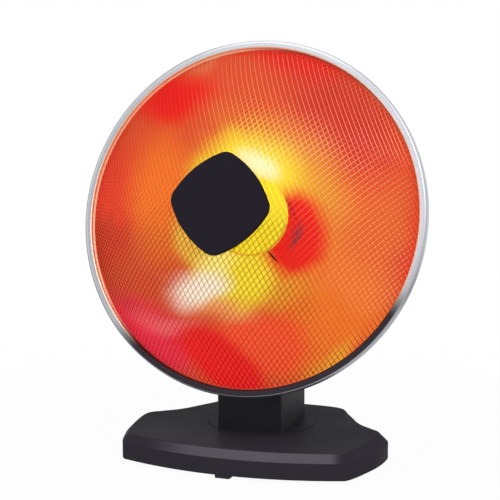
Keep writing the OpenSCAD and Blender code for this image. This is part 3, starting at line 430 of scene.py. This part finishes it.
def hem_steel():
    """Bright steel with the glow's light painted on: painted shade at the upper right, painted red glow
    along the bottom.
    """
    sh = Shader("hem_steel", Metallic=1.0, Roughness=0.40)
    right, up, _ = sh.head_axes()
    # painted glow light, with painted shade at the upper right and red glow along the bottom
    glow_lit_steel = sh.mix(sh.noise(60.0), rgb(255, 224, 204), rgb(250, 208, 182))
    upper_right_shade = sh.remap(sh.combine((right, 0.7), (up, 0.7)), 0.085, 0.130)
    glow_lit_steel = sh.mix(upper_right_shade, glow_lit_steel, rgb(132, 74, 66))
    low = sh.remap(up, -0.120, -0.060, 1.0, 0.0)
    sh.feed(sh.mix(low, glow_lit_steel, rgb(176, 70, 62)))
    return sh.material


def scaled(colour, factor):
    return tuple(min(1.0, channel * factor) for channel in colour[:3]) + (1.0,)


def black_plastic(name, tint, roughness, grain=0.00006, gloss=0.2):
    """Moulded black plastic with a fine grain and slight wear in its sheen."""
    sh = Shader(name, Specular_IOR_Level=gloss)
    sh.feed(sh.mix(sh.noise(35.0, 4.0), tint, scaled(tint, 1.25)))
    sh.uneven_roughness(roughness, 18.0)
    sh.bump(sh.noise(1400.0, 2.0), grain)
    return sh.material


def base_plastic():
    """The base's matt black plastic; its bevel has a lighter painted highlight, most of all at the front.
    """
    sh = Shader("base_plastic", Specular_IOR_Level=0.01)
    split = sh.tree.nodes.new("ShaderNodeSeparateXYZ")
    sh.link(sh.coords, split.inputs[0])
    across, depth, height = split.outputs
    foot = BASE_TOP - BEVEL_H
    bevel = sh.band(height, (foot - 0.0004, foot + 0.0004), (BASE_TOP - 0.0009, BASE_TOP - 0.0002))
    front = sh.product(sh.remap(across, -0.078, -0.022), sh.remap(depth, 0.0, -0.060))
    corner = sh.remap(across, 0.088, 0.100, 1.0, 0.0)
    # painted highlight on the bevel, strongest at the front
    painted_bevel_highlight = sh.product(bevel, front, corner, sh.spread(sh.noise(25.0, 4.0), 0.85, 1.0))
    plastic = sh.mix(sh.noise(35.0, 4.0), rgb(46, 44, 50), rgb(52, 50, 57))
    sh.feed(sh.mix(painted_bevel_highlight, plastic, rgb(90, 87, 97)))
    sh.uneven_roughness(0.50, 18.0)
    sh.bump(sh.noise(1400.0, 2.0), 0.00006)
    return sh.material


def metal(name, colour, roughness):
    sh = Shader(name, Metallic=1.0)
    sh.feed(sh.mix(sh.noise(90.0, 5.0), colour, scaled(colour, 0.8)))
    sh.uneven_roughness(roughness, 45.0)
    sh.bump(sh.noise(700.0), 0.00003)
    return sh.material


def plain(name, colour, roughness, grain=0.00005):
    sh = Shader(name)
    sh.feed(sh.mix(sh.noise(50.0, 4.0), colour, scaled(colour, 1.12)))
    sh.uneven_roughness(roughness, 30.0)
    sh.bump(sh.noise(900.0), grain)
    return sh.material


def glowing(name, colour, other, strength=1.0):
    """A heated part: it glows, a little unevenly between two colours."""
    sh = Shader(name, Roughness=0.5, Specular_IOR_Level=0.1, Emission_Strength=strength)
    sh.feed(HOT_CERAMIC)
    sh.feed(sh.mix(sh.remap(sh.noise(40.0), 0.35, 0.65), colour, other), "Emission Color")
    return sh.material


def painted_glow_cap():
    """The cap in front of the element, lit by it: a painted yellow glow, with a duller lower rim."""
    sh = Shader("painted_glow_cap", Roughness=0.5, Specular_IOR_Level=0.1, Emission_Strength=1.0)
    right, up, _ = sh.head_axes()
    yellow = sh.mix(sh.remap(sh.noise(40.0), 0.35, 0.65), CAP_YELLOW, rgb(241, 208, 36))
    # painted glow, duller towards the lower rim
    rim = sh.remap(sh.length(right, up), CAP_R - 0.0024, CAP_R - 0.0010, 0.0, 0.8)
    rim = sh.product(rim, sh.remap(up, -0.012, 0.004, 1.0, 0.0))
    sh.feed(HOT_CERAMIC)
    sh.feed(sh.mix(rim, yellow, rgb(226, 150, 36)), "Emission Color")
    return sh.material


def dress():
    black = black_plastic("black_plastic", rgb(32, 30, 37), 0.38)
    base = base_plastic()
    neck = black_plastic("neck_plastic", rgb(27, 25, 29), 0.60)
    badge = black_plastic("badge_plastic", rgb(23, 18, 29), 0.38, 0.00003, 0.1)
    steel = metal("zinc_steel", rgb(196, 196, 200), 0.32)
    dark_steel = metal("dark_steel", rgb(70, 68, 72), 0.42)
    ceramic = plain("ceramic", rgb(232, 222, 206), 0.7)
    white = plain("bearing_plastic", rgb(224, 222, 216), 0.5)
    red = plain("red_plastic", rgb(150, 26, 20), 0.35)
    rubber = plain("foot_rubber", rgb(28, 27, 28), 0.85, 0.00012)
    fibre = plain("friction_fibre", rgb(196, 176, 130), 0.85, 0.0001)
    switch = plain("switch_plastic", rgb(42, 44, 50), 0.45)
    finish = {
        "reflector": metal_with_painted_glow("bowl_metal", -0.05, 0.05),
        "guard_wires_front": front_wire(),
        "guard_wires_back": back_wire(),
        "guard_hem": hem_steel(),
        "trim_ring": trim_chrome(),
        "ring_clips": steel,
        "badge_plate": badge,
        "badge_studs": dark_steel,
        "badge_clamp": dark_steel,
        "element_cap": painted_glow_cap(),
        "cap_legs": cap_leg(),
        "cap_nut": steel,
        "element_core": glowing("hot_core", RED, ORANGE_RED),
        "heating_coil": glowing("hot_coil", AMBER, YELLOW, 1.3),
        "element_socket": metal_with_painted_glow("socket_metal", -0.95, -0.80),
        "socket_nut": dark_steel,
        "thermal_cutout": steel,
        "back_cover": neck,
        "cover_studs": steel,
        "neck_column": neck,
        "rear_panel": black,
        "panel_screws": steel,
        "heat_switch": ceramic,
        "selector_shaft": steel,
        "heat_knob": black,
        "rocker_frame": black,
        "rocker": red,
        "tilt_bolt": steel,
        "tilt_nut": steel,
        "friction_washers": fibre,
        "pivot_caps": black,
        "turntable": base,
        "neck_screws": steel,
        "drive_arm": dark_steel,
        "spindle_bush": white,
        "thrust_washer": white,
        "base_shell": base,
        "bottom_plate": dark_steel,
        "base_screws": steel,
        "feet": rubber,
        "drive_motor": steel,
        "motor_shaft": steel,
        "crank": white,
        "tip_switch": switch,
        "tip_plunger": red,
        "plunger_spring": steel,
        "terminal_block": ceramic,
        "cord_gland": black,
    }
    for name, material in finish.items():
        for slot in nodes[name].material_slots:
            slot.material = material


# ---- Studio ----
FLOOR_SIZE = 14.0
WORLD_LIGHT = 0.45
# The share of plain white in what the camera sees of the floor: near the heater, then further out
WHITE_NEAR, NEAR = 0.95, 0.20
WHITE_FAR, FAR = 1.0, 0.7


def seen_rays(tree):
    """1 for a ray from the camera, a mirror or clear glass, and 0 for the rays that light the scene."""
    path = tree.nodes.new("ShaderNodeLightPath")
    seen = path.outputs["Is Camera Ray"]
    for kind in ("Is Glossy Ray", "Is Transmission Ray"):
        either = tree.nodes.new("ShaderNodeMath")
        either.operation = "MAXIMUM"
        tree.links.new(seen, either.inputs[0])
        tree.links.new(path.outputs[kind], either.inputs[1])
        seen = either.outputs[0]
    return seen


def make_floor():
    """Pale paint that keeps the heater's soft shadow and turns plain white further out."""
    bpy.ops.mesh.primitive_plane_add(size=FLOOR_SIZE, location=(0, 0, 0))
    floor = bpy.context.object
    floor.name = "floor"
    sh = Shader("floor_paint", Roughness=0.9, Base_Color=(0.86, 0.86, 0.87, 1))
    away = sh.tree.nodes.new("ShaderNodeVectorMath")
    away.operation = "LENGTH"
    sh.link(sh.coords, away.inputs[0])
    white = sh.remap(away.outputs["Value"], NEAR, FAR, WHITE_NEAR, WHITE_FAR)
    plain_white = sh.tree.nodes.new("ShaderNodeEmission")
    mix = sh.tree.nodes.new("ShaderNodeMixShader")
    sh.link(sh.product(seen_rays(sh.tree), white), mix.inputs[0])
    sh.link(sh.main.outputs[0], mix.inputs[1])
    sh.link(plain_white.outputs[0], mix.inputs[2])
    sh.link(mix.outputs[0], sh.tree.nodes["Material Output"].inputs["Surface"])
    floor.data.materials.append(sh.material)


def make_world():
    """Soft light all round, and plain white where the camera sees it."""
    world = bpy.data.worlds.new("studio")
    bpy.context.scene.world = world
    world.use_nodes = True
    tree = world.node_tree
    soft, white = tree.nodes["Background"], tree.nodes.new("ShaderNodeBackground")
    for background, strength in (soft, WORLD_LIGHT), (white, 1.0):
        background.inputs["Color"].default_value = (1, 1, 1, 1)
        background.inputs["Strength"].default_value = strength
    mix = tree.nodes.new("ShaderNodeMixShader")
    tree.links.new(seen_rays(tree), mix.inputs[0])
    tree.links.new(soft.outputs[0], mix.inputs[1])
    tree.links.new(white.outputs[0], mix.inputs[2])
    tree.links.new(mix.outputs[0], tree.nodes["World Output"].inputs["Surface"])


def area_light(name, place, size, power):
    data = bpy.data.lights.new(name, "AREA")
    data.shape = "DISK"
    data.size = size
    data.energy = power
    light = bpy.data.objects.new(name, data)
    light.location = Vector(place)
    light.rotation_euler = (DISH - light.location).to_track_quat("-Z", "Y").to_euler()
    bpy.context.scene.collection.objects.link(light)


def make_lights():
    """Each lamp: name, place, size across in metres, and power in watts."""
    area_light("key", (1.3, -1.2, 1.5), 1.5, 20)
    area_light("fill", (-1.5, -1.1, 0.9), 1.6, 7)
    area_light("top", (-0.25, -0.50, 1.6), 1.2, 5)


make_camera()
dress()
make_floor()
make_world()
make_lights()
bpy.context.scene.view_settings.view_transform = "Standard"
